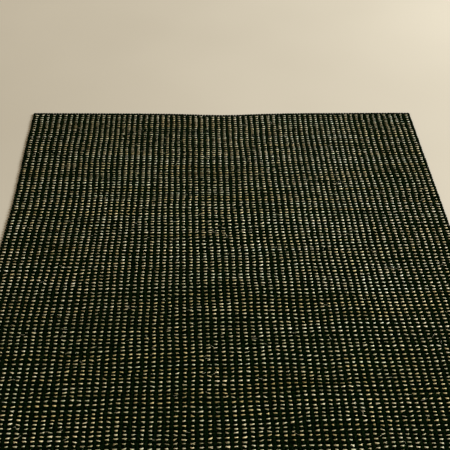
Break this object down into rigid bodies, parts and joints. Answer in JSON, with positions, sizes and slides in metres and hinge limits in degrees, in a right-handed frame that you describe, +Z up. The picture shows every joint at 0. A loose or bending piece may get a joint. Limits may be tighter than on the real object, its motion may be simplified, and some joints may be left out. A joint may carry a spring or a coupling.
{
  "type": "flat-woven rug",
  "caption": "Rectangular flat-woven rug with black and natural picks in a small grid of dashes, woven side edges and plain ends.",
  "frame": {"origin": "under the middle of the rug, on the surface it lies on", "axes": "+X across the warps, +Y along the length towards the end that is far in the picture, +Z up"},
  "size_m": [1.5258, 2.4376, 0.008],
  "materials": {
    "black_wool": "dull, slightly hairy yarn dyed near black with a green cast",
    "natural_jute": "dry, slubby undyed yarn, from grey-tan to straw"
  },
  "bodies": {
    "root": {"rug": "black_wool"}
  },
  "joints": []
}
